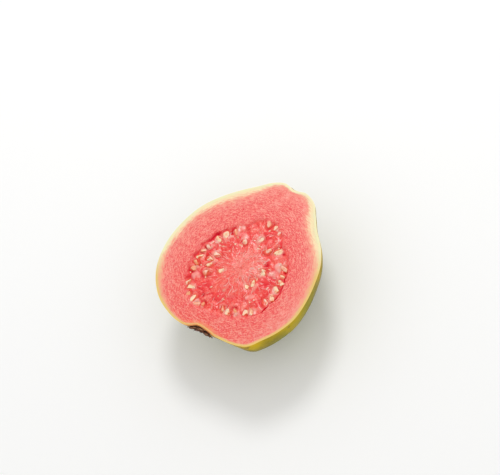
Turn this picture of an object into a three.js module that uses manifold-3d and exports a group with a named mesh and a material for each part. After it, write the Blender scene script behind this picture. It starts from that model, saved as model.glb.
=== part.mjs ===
// Half of a ripe pink guava, cut lengthwise through its calyx and its stem end, lying on its rounded back.
// Millimetres, +Z up. +X runs from the calyx to the stem end, +Y is the left side seen from above with
// the stem end away from you. The origin is the middle of the small flat spot that the half rests on.
//
// Two pieces: the half fruit itself, which grew as one body of skin, flesh and seeded pulp, and the dried
// calyx, the crown of sepals left from the flower, which lies in a shallow pit at the blossom end.
import * as THREE from 'three';
import { mergeVertices } from 'three/addons/utils/BufferGeometryUtils.js';
import Module from 'manifold-3d';

const wasm = await Module();
wasm.setup();

// Outline of the cut face, as distance from the calyx rim along the axis and distance out from the axis.
// Both sides have their points at matching stations, from the middle of the calyx pit to the stem dimple.
const LEFT_SIDE = [
  [0.4, 0], [0.1, 2.8], [-1.8, 5.9], [-2.7, 10.2], [-1.6, 17.4], [2.2, 26.3], [8.0, 32.9], [15.4, 37.7],
  [24.5, 40.4], [34.0, 40.8], [44.0, 39.1], [53.0, 35.8], [61.3, 30.2], [68.4, 23.6], [75.0, 16.2],
  [79.4, 11.3], [81.9, 6.4], [82.0, 3.4], [81.1, 0],
];
const RIGHT_SIDE = [
  [0.4, 0], [0.1, 3.9], [-0.5, 7.4], [-0.3, 10.2], [0.4, 17.4], [3.0, 24.6], [8.6, 29.0], [16.2, 33.8],
  [25.0, 37.0], [35.0, 37.4], [45.0, 36.0], [54.0, 33.4], [61.5, 28.7], [68.3, 22.2], [74.6, 17.4],
  [79.6, 13.4], [82.2, 7.5], [81.6, 3.6], [81.1, 0],
];
const STEPS_PER_STATION = 3;
const AROUND_BACK = 24;

// Faint ribs on the back, strongest near the calyx and gone by the middle of the fruit.
const RIB_COUNT = 5;
const RIB_HEIGHT = 0.016;
const RIB_REACH = 34;

// The blossom end leans: the deeper under the cut, the further in it lies, apart from its right side, where
// the back swells into a shoulder instead.
const LEAN = 0.2;
const LEAN_REACH = 30;
const LEAN_FADE = [-30, -14];
const SHOULDER = 0.05;
const SHOULDER_MIDDLE = 6;
const SHOULDER_REACH = 7;

// The resting spot: the back is flat where it lies, REST_DROP below the plane of the cut.
const REST_DROP = 38.2;
const REST_MIDDLE = [32, 1.7];

// The zone of seeded pulp in the cut face: its middle, and its rim's distance from there every 30 degrees,
// from the stem end round by the left side.
const ZONE_MIDDLE = [35, 0];
const ZONE_RIM = [27.8, 23.0, 22.5, 24.2, 27.2, 29.9, 26.4, 26.2, 25.6, 23.5, 23.1, 24.0];
const CREASE_WIDTH = 1.3;
const CREASE_DEPTH = 1.9;
const CREASE_DEPTH_AT_ENDS = 1.1;
const PULP_DEPTH = 0.8;
const PULP_LUMP = 0.3;
const PULP_RINGS = 6;

// Seeds lie in rows round the zone. Each row runs between two bearings from the stem end, at a share of the
// way from the zone's middle to its rim.
const SEED_ROWS = [
  { from: 38, to: 74, count: 3, reach: 0.86 },
  { from: 81, to: 121, count: 5, reach: 0.87 },
  { from: 129, to: 170, count: 6, reach: 0.92 },
  { from: 183, to: 231, count: 5, reach: 0.87 },
  { from: 240, to: 302, count: 6, reach: 0.9 },
  { from: 317, to: 327, count: 1, reach: 0.83 },
  { from: 341, to: 367, count: 3, reach: 0.93 },
  { from: 84, to: 130, count: 4, reach: 0.62 },
  { from: 327, to: 337, count: 1, reach: 0.62 },
  { from: 352, to: 394, count: 2, reach: 0.6 },
  { from: 222, to: 256, count: 2, reach: 0.42 },
  { from: 276, to: 297, count: 2, reach: 0.46 },
  { from: 120, to: 130, count: 1, reach: 0.36 },
];
const SEED_HALF_LENGTH = 1.9;
const SEED_HALF_WIDTH = 1.4;
const SEED_HALF_HEIGHT = 1.2;
const SEED_POINT = 0.3;
const SEED_TOP_BELOW_CUT = 0.05;
const SEED_SIDES = 7;
const SEED_RINGS = 5;

// The dried calyx: a lining in the pit, clear of the fruit by PIT_GAP, and four sepals that lie outwards on
// it. Each has its turn about the fruit's axis from the right side of the cut, and how far its tip lifts.
const PIT_GAP = 0.25;
const LINING_RADIUS = 5.2;
const LINING_THICKNESS = 1.0;
const LINING_SIDES = 24;
const LINING_RINGS = 4;
const SEPALS = [
  { turn: 4, reach: 7.2, width: 6.2, lift: 0.2 },
  { turn: 62, reach: 6.2, width: 5.6, lift: 0.4 },
  { turn: 118, reach: 5.7, width: 5.8, lift: 0.2 },
  { turn: 172, reach: 5.9, width: 5.6, lift: 0.1 },
];
const SEPAL_ROOT = 1.2;
const SEPAL_THICKNESS = 0.75;
const SEPAL_SUNK = 0.4;
const SEPAL_ROLL = 0.2;
const SEPAL_WAVE = 0.1;
const SEPAL_STEPS = 5;
const SEPAL_ACROSS = 4;

const radians = THREE.MathUtils.degToRad;
const lerp = THREE.MathUtils.lerp;

// A number from 0 to 1 that is always the same for the same seed and draw.
function drawn(seed, draw) {
  const wave = Math.sin(seed * 127.1 + draw * 311.7) * 43758.5453;
  return wave - Math.floor(wave);
}

function toSolid(geometry) {
  geometry.deleteAttribute('normal');
  geometry.deleteAttribute('uv');
  const merged = mergeVertices(geometry, 1e-4);
  return new wasm.Manifold(new wasm.Mesh({
    numProp: 3,
    vertProperties: new Float32Array(merged.attributes.position.array),
    triVerts: new Uint32Array(merged.index.array),
  }));
}

function toGeometry(solid) {
  const mesh = solid.getMesh();
  const geometry = new THREE.BufferGeometry();
  geometry.setAttribute('position', new THREE.BufferAttribute(new Float32Array(mesh.vertProperties), 3));
  geometry.setIndex(new THREE.BufferAttribute(new Uint32Array(mesh.triVerts), 1));
  geometry.computeVertexNormals();
  return geometry;
}

function indexed(points, triangles) {
  const geometry = new THREE.BufferGeometry();
  geometry.setAttribute('position', new THREE.Float32BufferAttribute(points.flat(), 3));
  geometry.setIndex(triangles.flat());
  return geometry;
}

const sideCurve = (side) => new THREE.SplineCurve(side.map(([x, r]) => new THREE.Vector2(x, r)));
const leftCurve = sideCurve(LEFT_SIDE);
const rightCurve = sideCurve(RIGHT_SIDE);
const STATIONS = (LEFT_SIDE.length - 1) * STEPS_PER_STATION;

// A point of the fruit's profile, as along and out, at an angle round the back from the right side.
function profilePoint(station, angle) {
  const share = (1 - Math.cos(angle)) / 2;
  return rightCurve.getPoint(station / STATIONS).lerp(leftCurve.getPoint(station / STATIONS), share);
}

function leaned([x, y, z]) {
  const near = Math.max(0, 1 - Math.max(0, x) / LEAN_REACH) ** 2;
  return [x - LEAN * near * THREE.MathUtils.smoothstep(y, ...LEAN_FADE) * z, y, z];
}

// The fruit's skin at station i of the profile and step j round the back, from the right rim to the left.
function skinPoint(i, j) {
  const angle = Math.PI * j / AROUND_BACK;
  const { x, y: out } = profilePoint(i, angle);
  const fade = Math.max(0, 1 - Math.max(0, x) / RIB_REACH) ** 2;
  const rib = 1 + RIB_HEIGHT * fade * Math.sin(angle) ** 2 * Math.cos(2 * RIB_COUNT * angle);
  const swell = Math.exp(-(((x - SHOULDER_MIDDLE) / SHOULDER_REACH) ** 2));
  const radius = out * rib * (1 + SHOULDER * swell * Math.max(0, Math.sin(2 * angle)) ** 2);
  return leaned([x, -radius * Math.cos(angle), -radius * Math.sin(angle)]);
}

// Distance from the zone's middle to its rim at a bearing in radians.
function zoneRim(bearing) {
  const turns = ((bearing / (2 * Math.PI)) % 1 + 1) % 1 * ZONE_RIM.length;
  const at = Math.floor(turns);
  const [a, b, c, d] = [-1, 0, 1, 2].map((k) => ZONE_RIM[(at + k + ZONE_RIM.length) % ZONE_RIM.length]);
  const t = turns - at;
  return b + 0.5 * t * (c - a + t * (2 * a - 5 * b + 4 * c - d + t * (3 * (b - c) + d - a)));
}

// Height of the pulp under the plane of the cut: low soft lumps, with folds that run out from the middle.
function pulpHeight(x, y) {
  const bearing = Math.atan2(y - ZONE_MIDDLE[1], x - ZONE_MIDDLE[0]);
  const out = Math.hypot(x - ZONE_MIDDLE[0], y - ZONE_MIDDLE[1]) / zoneRim(bearing);
  const lumps = Math.sin(0.9 * x + 1.3) * Math.sin(0.8 * y + 0.4) + 0.6 * Math.sin(0.45 * x - 0.6 * y);
  const folds = 0.5 * out * Math.cos(9 * bearing + 2 * Math.sin(3 * bearing));
  return -PULP_DEPTH + PULP_LUMP * (lumps + folds);
}

// Depth of the crease between flesh and pulp, which gapes along both long sides of the zone.
function creaseHeight(x, y) {
  const side = Math.abs(Math.sin(Math.atan2(y - ZONE_MIDDLE[1], x - ZONE_MIDDLE[0])));
  return -lerp(CREASE_DEPTH_AT_ENDS, CREASE_DEPTH, side);
}

// The half fruit as one closed surface: the skin round the back, the flat cut flesh, the crease round the
// seed zone, and the pulp inside it.
function halfFruit() {
  const points = [];
  const triangles = [];
  const add = (point) => points.push(point) - 1;
  const calyxEnd = add(skinPoint(0, 0));
  const stemEnd = add(skinPoint(STATIONS, 0));
  const grid = [];
  for (let i = 1; i < STATIONS; i++) {
    grid[i] = Array.from({ length: AROUND_BACK + 1 }, (_, j) => add(skinPoint(i, j)));
  }
  grid[0] = Array(AROUND_BACK + 1).fill(calyxEnd);
  grid[STATIONS] = Array(AROUND_BACK + 1).fill(stemEnd);
  const quad = (a, b, c, d) => {
    if (a !== b && b !== c) triangles.push([a, b, c]);
    if (a !== d && d !== c) triangles.push([a, c, d]);
  };
  for (let i = 0; i < STATIONS; i++) {
    for (let j = 0; j < AROUND_BACK; j++) {
      quad(grid[i][j], grid[i][j + 1], grid[i + 1][j + 1], grid[i + 1][j]);
    }
  }

  let ring = [];
  for (let i = 0; i < STATIONS; i++) ring.push(grid[i][0]);
  for (let i = STATIONS; i > 0; i--) ring.push(grid[i][AROUND_BACK]);
  const bearings = ring.map((k) => Math.atan2(points[k][1] - ZONE_MIDDLE[1], points[k][0] - ZONE_MIDDLE[0]));
  const zonePoint = (bearing, out, height) => {
    const x = ZONE_MIDDLE[0] + out * Math.cos(bearing);
    const y = ZONE_MIDDLE[1] + out * Math.sin(bearing);
    return [x, y, height(x, y)];
  };
  const nextRing = (out, height) => {
    const inner = bearings.map((bearing) => add(zonePoint(bearing, out(zoneRim(bearing)), height)));
    ring.forEach((k, n) => {
      const m = (n + 1) % ring.length;
      quad(k, ring[m], inner[m], inner[n]);
    });
    ring = inner;
  };
  nextRing((rim) => rim, () => 0);
  nextRing((rim) => rim - 0.4 * CREASE_WIDTH, creaseHeight);
  for (let step = 0; step < PULP_RINGS; step++) {
    nextRing((rim) => (rim - CREASE_WIDTH) * (1 - step / PULP_RINGS), pulpHeight);
  }
  const middle = add(zonePoint(0, 0, pulpHeight));
  ring.forEach((k, n) => triangles.push([k, ring[(n + 1) % ring.length], middle]));
  return toSolid(indexed(points, triangles));
}

// One seed: an egg with a blunt point, lying along +X.
function seedSolid() {
  const egg = new THREE.SphereGeometry(1, SEED_SIDES, SEED_RINGS);
  egg.rotateZ(-Math.PI / 2);
  const place = egg.attributes.position;
  for (let k = 0; k < place.count; k++) {
    const along = place.getX(k);
    const taper = 1 - SEED_POINT * along;
    place.setXYZ(k, SEED_HALF_LENGTH * along, SEED_HALF_WIDTH * taper * place.getY(k),
      SEED_HALF_HEIGHT * taper * place.getZ(k));
  }
  return egg;
}

// Every seed's matrix. The draws vary its bearing, reach, turn, tilt and size.
function seedPlaces() {
  const places = [];
  SEED_ROWS.forEach(({ from, to, count, reach }) => {
    for (let n = 0; n < count; n++) {
      const seed = places.length + 1;
      const spacing = (to - from) / count;
      const bearing = radians(from + spacing * (n + 0.5 + 0.35 * (drawn(seed, 1) - 0.5)));
      const out = zoneRim(bearing) * (reach + 0.07 * (drawn(seed, 2) - 0.5));
      const size = lerp(0.8, 1.4, drawn(seed, 3));
      const turn = bearing + Math.PI + 1.6 * (drawn(seed, 4) - 0.5);
      const tilt = 0.5 * (drawn(seed, 5) - 0.5);
      const place = new THREE.Vector3(
        ZONE_MIDDLE[0] + out * Math.cos(bearing),
        ZONE_MIDDLE[1] + out * Math.sin(bearing),
        -SEED_TOP_BELOW_CUT - size * (SEED_HALF_HEIGHT + 0.4 * Math.abs(tilt)),
      );
      const turned = new THREE.Quaternion().setFromEuler(new THREE.Euler(0, tilt, turn, 'ZYX'));
      places.push(new THREE.Matrix4().compose(place, turned, new THREE.Vector3(size, size, size)));
    }
  });
  return places;
}

// A block that takes the back off level below the resting spot.
function groundBlock() {
  const size = 120;
  const block = new THREE.BoxGeometry(size, size, size);
  block.translate(REST_MIDDLE[0], 0, -REST_DROP - size / 2);
  return toSolid(block);
}

function guavaHalf() {
  let fruit = halfFruit();
  const seed = seedSolid();
  seedPlaces().forEach((matrix) => {
    fruit = fruit.add(toSolid(seed.clone().applyMatrix4(matrix)));
  });
  return fruit.subtract(groundBlock());
}

// How far along the axis the pit's floor lies, at a distance out from the axis and an angle round it.
function pitFloor(out, angle) {
  let station = 1;
  while (profilePoint(station, angle).y < out) station++;
  const near = profilePoint(station - 1, angle);
  const far = profilePoint(station, angle);
  return lerp(near.x, far.x, (out - near.y) / (far.y - near.y));
}

// A point of the calyx: out from the axis, at an angle round it, and above the side that faces the pit.
function calyxPoint(out, angle, rise) {
  return leaned([pitFloor(out, angle) - PIT_GAP - rise, -out * Math.cos(angle), -out * Math.sin(angle)]);
}

// The calyx lining: a dished disc that follows the pit and thins towards its rim.
function liningSolid() {
  const points = [calyxPoint(0, 0, 0), calyxPoint(0, 0, LINING_THICKNESS)];
  const triangles = [];
  for (let ring = 1; ring <= LINING_RINGS; ring++) {
    const share = ring / LINING_RINGS;
    for (let side = 0; side < LINING_SIDES; side++) {
      const angle = 2 * Math.PI * side / LINING_SIDES;
      points.push(calyxPoint(LINING_RADIUS * share, angle, 0));
      points.push(calyxPoint(LINING_RADIUS * share, angle, LINING_THICKNESS * (1 - 0.4 * share)));
    }
  }
  const index = (ring, side, face) => 2 + ((ring - 1) * LINING_SIDES + side % LINING_SIDES) * 2 + face;
  const quad = (a, b, c, d) => triangles.push([a, b, c], [a, c, d]);
  for (let side = 0; side < LINING_SIDES; side++) {
    triangles.push([0, index(1, side, 0), index(1, side + 1, 0)]);
    triangles.push([1, index(1, side + 1, 1), index(1, side, 1)]);
    for (let ring = 1; ring < LINING_RINGS; ring++) {
      quad(index(ring, side, 0), index(ring + 1, side, 0), index(ring + 1, side + 1, 0),
        index(ring, side + 1, 0));
      quad(index(ring, side, 1), index(ring, side + 1, 1), index(ring + 1, side + 1, 1),
        index(ring + 1, side, 1));
    }
    quad(index(LINING_RINGS, side, 0), index(LINING_RINGS, side, 1), index(LINING_RINGS, side + 1, 1),
      index(LINING_RINGS, side + 1, 0));
  }
  return toSolid(indexed(points, triangles));
}

// One dried sepal: a blade that lies outwards on the lining, with a lifted tip and rolled edges.
function sepalSolid({ turn, reach, width, lift }) {
  const points = [];
  const triangles = [];
  const index = (s, a, face) => (s * (SEPAL_ACROSS + 1) + a) * 2 + face;
  for (let s = 0; s <= SEPAL_STEPS; s++) {
    const along = s / SEPAL_STEPS;
    const out = lerp(SEPAL_ROOT, reach, along);
    const half = 0.5 * width * Math.sqrt(1 - 0.9 * along ** 4) * lerp(0.6, 1, along ** 0.5);
    for (let a = 0; a <= SEPAL_ACROSS; a++) {
      const across = 2 * a / SEPAL_ACROSS - 1;
      const side = half * across;
      const angle = radians(turn) + Math.atan2(side, out);
      const roll = SEPAL_ROLL * across ** 2 + SEPAL_WAVE * Math.sin(4 * across + 5 * along + turn);
      const rise = SEPAL_SUNK * (1 - 0.5 * along) + lift * along ** 2.5 + roll * along;
      points.push(calyxPoint(Math.hypot(out, side), angle, rise));
      points.push(calyxPoint(Math.hypot(out, side), angle, rise + SEPAL_THICKNESS));
    }
  }
  const quad = (a, b, c, d) => triangles.push([a, b, c], [a, c, d]);
  for (let s = 0; s < SEPAL_STEPS; s++) {
    for (let a = 0; a < SEPAL_ACROSS; a++) {
      quad(index(s, a, 0), index(s + 1, a, 0), index(s + 1, a + 1, 0), index(s, a + 1, 0));
      quad(index(s, a, 1), index(s, a + 1, 1), index(s + 1, a + 1, 1), index(s + 1, a, 1));
    }
    quad(index(s, 0, 0), index(s, 0, 1), index(s + 1, 0, 1), index(s + 1, 0, 0));
    quad(index(s, SEPAL_ACROSS, 0), index(s + 1, SEPAL_ACROSS, 0), index(s + 1, SEPAL_ACROSS, 1),
      index(s, SEPAL_ACROSS, 1));
  }
  for (let a = 0; a < SEPAL_ACROSS; a++) {
    quad(index(0, a, 0), index(0, a + 1, 0), index(0, a + 1, 1), index(0, a, 1));
    quad(index(SEPAL_STEPS, a, 0), index(SEPAL_STEPS, a, 1), index(SEPAL_STEPS, a + 1, 1),
      index(SEPAL_STEPS, a + 1, 0));
  }
  return toSolid(indexed(points, triangles));
}

// The knife took the upper half of the calyx too.
function cutAwayBlock() {
  const size = 60;
  const block = new THREE.BoxGeometry(size, size, size);
  block.translate(0, 0, size / 2);
  return toSolid(block);
}

function calyx() {
  let crown = liningSolid();
  SEPALS.forEach((sepal) => {
    crown = crown.add(sepalSolid(sepal));
  });
  return crown.subtract(cutAwayBlock());
}

const fruitMesh = new THREE.Mesh(
  toGeometry(guavaHalf()),
  new THREE.MeshStandardMaterial({ color: 0xf0706c, roughness: 0.45, metalness: 0 }),
);
fruitMesh.name = 'guava_half';

const calyxMesh = new THREE.Mesh(
  toGeometry(calyx()),
  new THREE.MeshStandardMaterial({ color: 0x4a2c22, roughness: 0.85, metalness: 0 }),
);
calyxMesh.name = 'calyx';

const group = new THREE.Group();
group.add(fruitMesh, calyxMesh);
group.position.set(-REST_MIDDLE[0], -REST_MIDDLE[1], REST_DROP);

export default group;
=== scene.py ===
import itertools
import math

import bmesh
import bpy
import numpy as np
from mathutils import Matrix, Vector


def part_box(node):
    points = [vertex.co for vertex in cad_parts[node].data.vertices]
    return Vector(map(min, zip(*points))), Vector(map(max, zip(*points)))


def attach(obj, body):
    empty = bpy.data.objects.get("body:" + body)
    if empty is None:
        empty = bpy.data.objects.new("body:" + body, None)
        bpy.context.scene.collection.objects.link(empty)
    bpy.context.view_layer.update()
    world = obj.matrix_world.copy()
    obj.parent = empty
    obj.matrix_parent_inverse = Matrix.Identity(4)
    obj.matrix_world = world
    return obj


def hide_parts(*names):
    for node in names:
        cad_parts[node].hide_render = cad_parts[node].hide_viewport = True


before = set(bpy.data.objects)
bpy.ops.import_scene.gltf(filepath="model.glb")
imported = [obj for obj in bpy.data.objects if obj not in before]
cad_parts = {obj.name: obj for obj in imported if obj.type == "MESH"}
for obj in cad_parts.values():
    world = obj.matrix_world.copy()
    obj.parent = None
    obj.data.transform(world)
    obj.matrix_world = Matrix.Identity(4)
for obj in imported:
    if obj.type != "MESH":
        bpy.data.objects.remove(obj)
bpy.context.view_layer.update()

MM = 0.001


# The camera, set as the photograph was taken: it looks down on the cut face from beyond the calyx and the
# right side, and is turned so that the stem end points up and right. The calyx's middle lands on its pixel,
# at the size that one pixel has there.
IMAGE_WIDTH = 500
IMAGE_HEIGHT = 475
PIXEL = 0.47 * MM
CALYX_PIXEL = (201, 328)
AZIMUTH = math.radians(-29)
ELEVATION = math.radians(62)
ROLL = math.radians(30.2)
LENS_MM = 100
SENSOR_MM = 36
NEAREST_SEEN = 0.01

# The cut plane is the top of the fruit's solid. The fruit's axis runs along the cut from the calyx's rim.
# The flat spot that the half rests on is below REST_MIDDLE, in millimetres along that axis and to its left.
CUT_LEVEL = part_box("guava_half")[1].z
REST_MIDDLE = (32.0, 1.7)


def place(x, y, z):
    """Points in the frame, in metres, from millimetres along, left of and above the fruit's axis."""
    point = np.stack(np.broadcast_arrays(x - REST_MIDDLE[0], y - REST_MIDDLE[1], z), axis=-1)
    return point * MM + (0, 0, CUT_LEVEL)


back = Vector((
    math.sin(AZIMUTH) * math.cos(ELEVATION),
    -math.cos(AZIMUTH) * math.cos(ELEVATION),
    math.sin(ELEVATION),
))
level_right = Vector((math.cos(AZIMUTH), math.sin(AZIMUTH), 0))
level_up = back.cross(level_right)
right = math.cos(ROLL) * level_right - math.sin(ROLL) * level_up
up = math.sin(ROLL) * level_right + math.cos(ROLL) * level_up

target = Vector(place(0, 0, 0))
target += right * (IMAGE_WIDTH / 2 - CALYX_PIXEL[0]) * PIXEL
target += up * (CALYX_PIXEL[1] - IMAGE_HEIGHT / 2) * PIXEL
scene = bpy.context.scene
camera = bpy.data.objects.new("camera", bpy.data.cameras.new("camera"))
camera.data.lens = LENS_MM
camera.data.sensor_width = SENSOR_MM
camera.data.clip_start = NEAREST_SEEN
camera.location = target + back * PIXEL * IMAGE_WIDTH * LENS_MM / SENSOR_MM
camera.rotation_mode = "QUATERNION"
camera.rotation_quaternion = Matrix((right, up, back)).transposed().to_quaternion()
scene.collection.objects.link(camera)
scene.camera = camera


# The floor is a plain pale sheet. The light is a large soft lamp above the stem end, with pale light from
# all round. Colours are shown as they are, without a film curve.
FLOOR_SIZE = 4.0
LAMP_SIZE = 0.25
LAMP_DISTANCE = 0.8
LAMP_POWER = 1.88
LAMP_TILT = math.radians(34)
FILL_STRENGTH = 0.8


def colour(red, green, blue):
    """A colour for a shader from a red, green and blue as seen on a screen, each from 0 to 255."""
    shares = [value / 255 for value in (red, green, blue)]
    return tuple(s / 12.92 if s <= 0.04045 else ((s + 0.055) / 1.055) ** 2.4 for s in shares) + (1,)


def add_node(tree, kind, inputs=(), **settings):
    """Adds a node to a tree, sets its own settings, and sets or links its inputs by name or number."""
    node = tree.nodes.new(kind)
    for name, value in settings.items():
        setattr(node, name, value)
    for name, value in dict(inputs).items():
        if isinstance(value, bpy.types.NodeSocket):
            tree.links.new(value, node.inputs[name])
        else:
            node.inputs[name].default_value = value
    return node


def new_material(name, **inputs):
    """A material with its shader's inputs set. An underscore in an input's name stands for a space."""
    material = bpy.data.materials.new(name)
    material.use_nodes = True
    shader = material.node_tree.nodes["Principled BSDF"]
    for title, value in inputs.items():
        shader.inputs[title.replace("_", " ")].default_value = value
    return material, material.node_tree, shader


def new_piece(name, points, faces, material):
    """A piece from points in metres and faces, smooth but for its sharp edges."""
    mesh = bpy.data.meshes.new(name)
    mesh.from_pydata(points, [], faces)
    mesh.materials.append(material)
    mesh.shade_smooth()
    mesh.set_sharp_from_angle(angle=math.radians(60))
    piece = bpy.data.objects.new(name, mesh)
    scene.collection.objects.link(piece)
    return piece


floor_material = new_material("pale floor", Base_Color=colour(250, 250, 249), Roughness=0.8)[0]
reach = FLOOR_SIZE / 2
floor = new_piece(
    "floor",
    [(-reach, -reach, 0), (reach, -reach, 0), (reach, reach, 0), (-reach, reach, 0)],
    [(0, 1, 2, 3)],
    floor_material,
)

world = bpy.data.worlds.new("pale room")
world.use_nodes = True
background = world.node_tree.nodes["Background"]
background.inputs["Color"].default_value = colour(255, 255, 255)
background.inputs["Strength"].default_value = FILL_STRENGTH
scene.world = world

lamp = bpy.data.objects.new("lamp", bpy.data.lights.new("lamp", "AREA"))
lamp.data.shape = "DISK"
lamp.data.size = LAMP_SIZE
lamp.data.energy = LAMP_POWER
lamp_way = Vector((up.x, up.y, 0)).normalized() * math.sin(LAMP_TILT) + Vector((0, 0, math.cos(LAMP_TILT)))
lamp.location = Vector((0, 0, CUT_LEVEL)) + lamp_way * LAMP_DISTANCE
lamp.rotation_mode = "QUATERNION"
lamp.rotation_quaternion = lamp_way.to_track_quat("Z", "Y")
scene.collection.objects.link(lamp)
scene.view_settings.view_transform = "Standard"


# The skin is the fruit's own, yellow-green and half a millimetre thick, grown as one with the flesh and cut
# clean at its edge. It is a closed shell between an outer face that bumps and wrinkles a little and a coarse
# inner face that the flesh fills. All lengths are millimetres from here on, and metres where MM is used.
LEFT_SIDE = [
    (0.4, 0), (0.1, 2.8), (-1.8, 5.9), (-2.7, 10.2), (-1.6, 17.4), (2.2, 26.3), (8.0, 32.9), (15.4, 37.7),
    (24.5, 40.4), (34.0, 40.8), (44.0, 39.1), (53.0, 35.8), (61.3, 30.2), (68.4, 23.6), (75.0, 16.2),
    (79.4, 11.3), (81.9, 6.4), (82.0, 3.4), (81.1, 0),
]
RIGHT_SIDE = [
    (0.4, 0), (0.1, 3.9), (-0.5, 7.4), (-0.3, 10.2), (0.4, 17.4), (3.0, 24.6), (8.6, 29.0), (16.2, 33.8),
    (25.0, 37.0), (35.0, 37.4), (45.0, 36.0), (54.0, 33.4), (61.5, 28.7), (68.3, 22.2), (74.6, 17.4),
    (79.6, 13.4), (82.2, 7.5), (81.6, 3.6), (81.1, 0),
]
STATIONS = 240
ROUND_BACK = 120
INNER_ROUND_BACK = 15
SKIN_THICKNESS = 0.5
RIB_COUNT = 5
RIB_HEIGHT = 0.016
RIB_REACH = 34
LEAN = 0.2
LEAN_REACH = 30
LEAN_FADE = (-30, -14)
SHOULDER = 0.05
SHOULDER_MIDDLE = 6
SHOULDER_REACH = 7
SWELL = 0.22
SWELL_SIZE = 11
DIMPLE = 0.05
DIMPLE_SIZE = 2.4
PUCKER = 0.28
PUCKER_REACH = 15
PUCKER_TURNS = 9
PUCKER_SWAY = 2.5
PUCKER_SWAY_SIZE = 9
PUCKER_MIDDLE = 12
PUCKER_END = 30
RELIEF_AT_CUT = 0.35
RELIEF_HALFWAY = 40
RELIEF_BY_CALYX = (5, 10)
RELIEF_BY_STEM = (2, 7)
SCAR_MIDDLE = (81.1, 0.3, -3.6)
SCAR_RADIUS = 2.6
SCAR_RIM = 0.3
SCAR_DEPTH = 0.5
REST_SOFTNESS = 0.15


def soft_noise(points, size, pattern):
    """Smooth noise from -1 to 1 at points in millimetres, with bumps about one size across."""
    spot = np.asarray(points, float) / size + 19.7 * pattern
    cell = np.floor(spot)
    part = spot - cell
    ease = part * part * (3 - 2 * part)
    total = 0
    for corner in itertools.product((0, 1), repeat=3):
        share = np.prod(np.where(corner, ease, 1 - ease), axis=-1)
        draw = np.sin((cell + corner) @ (127.1, 311.7, 74.7)) * 43758.5453
        total = total + share * (2 * (draw - np.floor(draw)) - 1)
    return total


def curve(points, share):
    """Points at shares of the way along a smooth curve through the given points."""
    points = np.array(points, float)
    last = len(points) - 1
    at = np.minimum((share * last).astype(int), last - 1)
    part = (share * last - at)[:, None]
    before, start, end, after = (points[np.clip(at + step, 0, last)] for step in (-1, 0, 1, 2))
    leaving = (end - before) / 2
    arriving = (after - start) / 2
    cubic = 2 * start - 2 * end + leaving + arriving
    square = 3 * end - 3 * start - 2 * leaving - arriving
    return ((cubic * part + square) * part + leaving) * part + start


def step_between(low, high, value):
    """0 below low, 1 above high, and a smooth step between."""
    share = np.clip((value - low) / (high - low), 0, 1)
    return share * share * (3 - 2 * share)


def bell(distance, size):
    """1 at no distance, falling off smoothly to about a third at one size."""
    return np.exp(-(distance / size) ** 2)


def grid_numbers(rows, columns, first=0):
    """Vertex numbers of a grid whose first and last rows are single points, as at a fruit's two ends."""
    inside = first + 1 + np.arange((rows - 2) * columns).reshape(rows - 2, columns)
    start = np.full((1, columns), first)
    end = np.full((1, columns), inside[-1, -1] + 1)
    return np.vstack([start, inside, end])


def grid_points(grid):
    """The points of such a grid in the order of their numbers."""
    return np.vstack([grid[:1, 0], grid[1:-1].reshape(-1, 3), grid[-1:, 0]])


def patch(a, b, c, d):
    """Faces from four arrays of corner numbers, with a repeated corner dropped."""
    corners = np.stack([a, b, c, d], axis=-1).reshape(-1, 4).tolist()
    return [tuple(dict.fromkeys(face)) for face in corners if len(set(face)) > 2]


def grid_faces(numbers, inwards=False):
    """The faces of a grid of vertex numbers, turned outwards or inwards."""
    a, b, c, d = numbers[:-1, :-1], numbers[:-1, 1:], numbers[1:, 1:], numbers[1:, :-1]
    return patch(a, d, c, b) if inwards else patch(a, b, c, d)


def cut_edge(numbers):
    """The ring of vertex numbers round the cut: along the right side to the stem, and back on the left."""
    return np.concatenate([numbers[:-1, 0], numbers[:0:-1, -1]])


def between_rings(outer, inner):
    """The band of faces between two rings of vertex numbers."""
    return patch(outer, np.roll(outer, -1), np.roll(inner, -1), inner)


def leaned(points):
    """Points of the fruit moved in by its depth under the cut, near the blossom end, which leans."""
    x, y, z = np.moveaxis(np.asarray(points, float), -1, 0)
    near = np.clip(1 - np.maximum(x, 0) / LEAN_REACH, 0, 1) ** 2
    return np.stack([x - LEAN * near * step_between(*LEAN_FADE, y) * z, y, z], axis=-1)


def round_back(x, radius):
    """Points along the axis and a radius out from it, at each turn from the right side under to the left."""
    return np.stack([x, -radius * np.cos(turn), -radius * np.sin(turn)], axis=-1)


along = np.linspace(0, 1, STATIONS + 1)
left = curve(LEFT_SIDE, along)[:, None]
right_side = curve(RIGHT_SIDE, along)[:, None]
turn = np.linspace(0, math.pi, ROUND_BACK + 1)
leftward = ((1 - np.cos(turn)) / 2)[None, :, None]
profile = right_side + (left - right_side) * leftward
skin_x = profile[..., 0]
fade = np.clip(1 - np.maximum(skin_x, 0) / RIB_REACH, 0, 1) ** 2
ribs = 1 + RIB_HEIGHT * fade * np.sin(turn) ** 2 * np.cos(2 * RIB_COUNT * turn)
shoulder = bell(skin_x - SHOULDER_MIDDLE, SHOULDER_REACH) * np.maximum(0, np.sin(2 * turn)) ** 2
radius = profile[..., 1] * ribs * (1 + SHOULDER * shoulder)
plain = round_back(skin_x, radius)

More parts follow.
